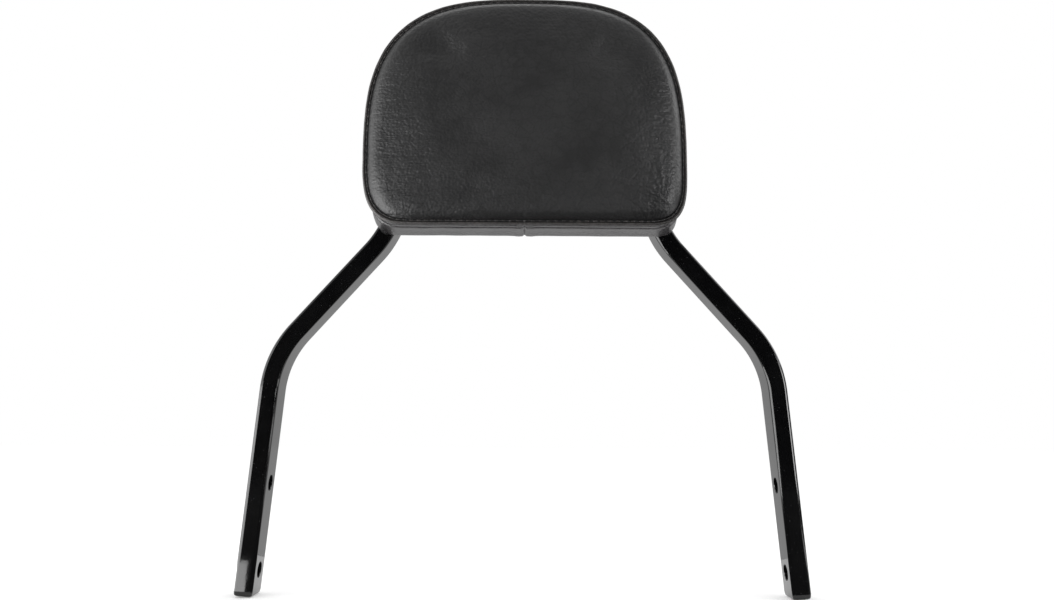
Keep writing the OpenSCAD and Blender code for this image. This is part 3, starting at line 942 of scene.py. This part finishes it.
# straps, welds and fasteners keep their CAD form and get softened edges; edge is the bevel in mm
hardware = {
    "strapEdge": 0.5, "screwEdge": 0.18, "washerEdge": 0.16, "bevelSteps": 3, "bevelFrom": 40,
    "weldDistance": 0.000004, "flatWithin": 1.5,
}


def softened(node, name, mat, edge, angle=35):
    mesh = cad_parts[node].data.copy()
    obj = bpy.data.objects.new(name, mesh)
    scene.collection.objects.link(obj)
    bm = bmesh.new()
    bm.from_mesh(mesh)
    bmesh.ops.remove_doubles(bm, verts=bm.verts, dist=hardware["weldDistance"])
    flat = math.radians(hardware["flatWithin"])
    bmesh.ops.dissolve_limit(bm, angle_limit=flat, verts=bm.verts, edges=bm.edges)
    bmesh.ops.recalc_face_normals(bm, faces=bm.faces)
    bm.to_mesh(mesh)
    bm.free()
    mesh.materials.clear()
    mesh.materials.append(mat)
    smooth(obj, angle)
    if edge:
        bevel = obj.modifiers.new("edge", "BEVEL")
        bevel.width = edge * mm
        bevel.segments = hardware["bevelSteps"]
        bevel.limit_method = "ANGLE"
        bevel.angle_limit = math.radians(hardware["bevelFrom"])
        bevel.harden_normals = True
        applyModifiers(obj)
    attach(obj, "root")
    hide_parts(node)


def finishNode(node, mat):
    # the hidden pieces show their CAD solid
    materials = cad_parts[node].data.materials
    materials.clear()
    materials.append(mat)


def addHardware():
    washerEdge = hardware["washerEdge"]
    for row in ("lower", "upper"):
        softened(row + "_strap", row + "Strap", strapPaint, hardware["strapEdge"])
        softened(row + "_strap_welds", row + "StrapWelds", strapPaint, 0, 60)
        softened(row + "_pad_screws", row + "PadScrews", blackZinc, hardware["screwEdge"])
        softened(row + "_flat_washers", row + "FlatWashers", blackZinc, washerEdge)
        softened(row + "_spring_washers", row + "SpringWashers", blackZinc, washerEdge)
        finishNode(row + "_tee_nuts", zincMat)
    finishNode("pad_board", plyMat)


addHardware()
print("hardware done")


# studio: pale floor and white surroundings, soft lamps, and cards that are seen only in reflections
# a lamp has its place, size and power; footLine runs on the floor from the left foot to the far left
studio = {
    "floorSize": 6.0, "floorColour": 0.8, "floorGlow": 0.24, "floorDrop": 0.0008, "worldLight": 1.0,
    "lamps": {
        "keyLeft": ((-0.95, -0.55, 0.30), 0.5, 2.2),
        "keyRight": ((0.95, -0.60, 0.25), 0.4, 3.2),
        "topBack": ((0.0, 0.5, 1.1), 0.8, 2.0),
    },
    "lampAim": (0, 0, 0.2), "cardColour": 0.004, "brightLift": 0.0001,
}
footLine = [(-0.163, -0.004), (-0.1985, -0.147), (-0.235, -0.147), (-0.62, -1.3)]
frontCorners = [(-0.62, -1.3), (1.3, -1.3), (1.4, 0.35)]
# each card: its upright corners with their foot and top, its part on the floor, its glow
cards = {
    "darkCard": {
        "corners": frontCorners, "foot": 0.0, "top": 0.90, "glow": 0.0,
        "onFloor": footLine + [(1.3, -1.3), (1.4, 0.0), (0.15, 0.0), (0.12, 0.14), (-0.12, 0.14), (-0.15, 0.0)],
    },
    "darkLeftCard": {"corners": [(-1.2, -1.3), (-0.62, -1.3)], "foot": 0.22, "top": 0.90, "glow": 0.0},
    "frontCard": {"corners": [(-1.2, -1.3)] + frontCorners[1:], "foot": 0.90, "top": 1.8, "glow": 0.36},
    "lowLeftCard": {
        "corners": [(-0.62, -1.3), (-0.95, -0.75), (-0.95, 0.15)], "foot": 0.0, "top": 0.22, "glow": 6.0,
        "onFloor": footLine[::-1] + [(-0.185, 0.0), (-0.185, 0.15), (-0.95, 0.15), (-0.95, -0.75)],
    },
    "leftCard": {"corners": [(-0.95, -0.20), (-0.95, 0.45)], "foot": 0.22, "top": 0.80, "glow": 2.2},
    "rightCard": {"corners": [(0.95, -0.20), (0.95, 0.45)], "foot": 0.40, "top": 1.0, "glow": 3.2},
    "lowRightCard": {"corners": [(0.80, -1.28), (1.10, -0.95)], "foot": 0.04, "top": 0.36, "glow": 10.0},
    "rightFloorCard": {
        "glow": 3.0, "onFloor": [(0.45, -0.55), (0.90, -0.55), (0.90, 0.10), (0.45, 0.10)],
    },
    "backCard": {
        "corners": [(-1.6, 1.5), (1.6, 1.5)], "foot": 0.0, "top": 1.0, "glow": 0.60,
        "onFloor": [(-1.6, 0.16), (1.6, 0.16), (1.6, 1.5), (-1.6, 1.5)],
    },
}


def seenPlainly(owner):
    # 1 where the camera, a reflection or a look through something transparent meets the surface
    rays = addNode(owner, "ShaderNodeLightPath")
    seen = mathNode(owner, "MAXIMUM", rays.outputs["Is Camera Ray"], rays.outputs["Is Glossy Ray"])
    return mathNode(owner, "MAXIMUM", seen, rays.outputs["Is Transmission Ray"])


def stageMaterial(name):
    mat = bpy.data.materials.new(name)
    mat.use_nodes = True
    mat.node_tree.nodes.clear()
    return mat, addNode(mat, "ShaderNodeOutputMaterial")


def addStagePiece(name, verts, faces, mat):
    mesh = bpy.data.meshes.new(name)
    mesh.from_pydata(verts, [], faces)
    mesh.materials.append(mat)
    piece = bpy.data.objects.new(name, mesh)
    scene.collection.objects.link(piece)
    return piece


def addFloor():
    mat, out = stageMaterial("paleFloor")
    diffuse = addNode(mat, "ShaderNodeBsdfDiffuse", Color=(*[studio["floorColour"]] * 3, 1))
    glow = addNode(mat, "ShaderNodeEmission")
    put(mat, mathNode(mat, "MULTIPLY", seenPlainly(mat), studio["floorGlow"]), glow.inputs["Strength"])
    add = addNode(mat, "ShaderNodeAddShader")
    put(mat, diffuse.outputs[0], add.inputs[0])
    put(mat, glow.outputs[0], add.inputs[1])
    put(mat, add.outputs[0], out.inputs[0])
    size = studio["floorSize"]
    corners = [(-size, -size, 0), (size, -size, 0), (size, size, 0), (-size, size, 0)]
    floor = addStagePiece("studioFloor", corners, [(0, 1, 2, 3)], mat)
    floor.location.z = -studio["floorDrop"]


def addWorld():
    world = bpy.data.worlds.new("whiteRoom")
    scene.world = world
    world.use_nodes = True
    world.node_tree.nodes.clear()
    out = addNode(world, "ShaderNodeOutputWorld")
    soft = addNode(world, "ShaderNodeBackground", Color=(1, 1, 1, 1), Strength=studio["worldLight"])
    white = addNode(world, "ShaderNodeBackground", Color=(1, 1, 1, 1), Strength=1.0)
    mix = addNode(world, "ShaderNodeMixShader")
    put(world, seenPlainly(world), mix.inputs[0])
    put(world, soft.outputs[0], mix.inputs[1])
    put(world, white.outputs[0], mix.inputs[2])
    put(world, mix.outputs[0], out.inputs[0])


def addCard(name, glow, corners=(), foot=0.0, top=0.0, onFloor=()):
    verts, faces = [], []
    for x, y in corners:
        verts += [(x, y, foot), (x, y, top)]
    for k in range(len(corners) - 1):
        faces.append((2 * k, 2 * k + 2, 2 * k + 3, 2 * k + 1))
    if onFloor:
        faces.append(tuple(range(len(verts), len(verts) + len(onFloor))))
    # a bright card's floor part lies just above a dark one's
    verts += [(x, y, studio["brightLift"] if glow > 1 else 0.0) for x, y in onFloor]
    mat = bpy.data.materials.new(name)
    mat.use_nodes = True
    shader = mat.node_tree.nodes["Principled BSDF"]
    shader.inputs["Base Color"].default_value = (*[studio["cardColour"]] * 3, 1)
    shader.inputs["Roughness"].default_value = 1.0
    shader.inputs["Emission Color"].default_value = (1, 1, 1, 1)
    shader.inputs["Emission Strength"].default_value = glow
    card = addStagePiece(name, verts, faces, mat)
    card.visible_camera = False
    card.visible_shadow = False
    card.visible_diffuse = False
    card.visible_transmission = False


def addLamps():
    for name, (place, size, power) in studio["lamps"].items():
        data = bpy.data.lights.new(name, "AREA")
        data.size = size
        data.energy = power
        lamp = bpy.data.objects.new(name, data)
        scene.collection.objects.link(lamp)
        lamp.location = place
        aim = Vector(studio["lampAim"]) - Vector(place)
        lamp.rotation_euler = aim.to_track_quat("-Z", "Y").to_euler()


addFloor()
addWorld()
for name, card in cards.items():
    addCard(name, **card)
addLamps()
scene.view_settings.view_transform = "Standard"
print("studio done")
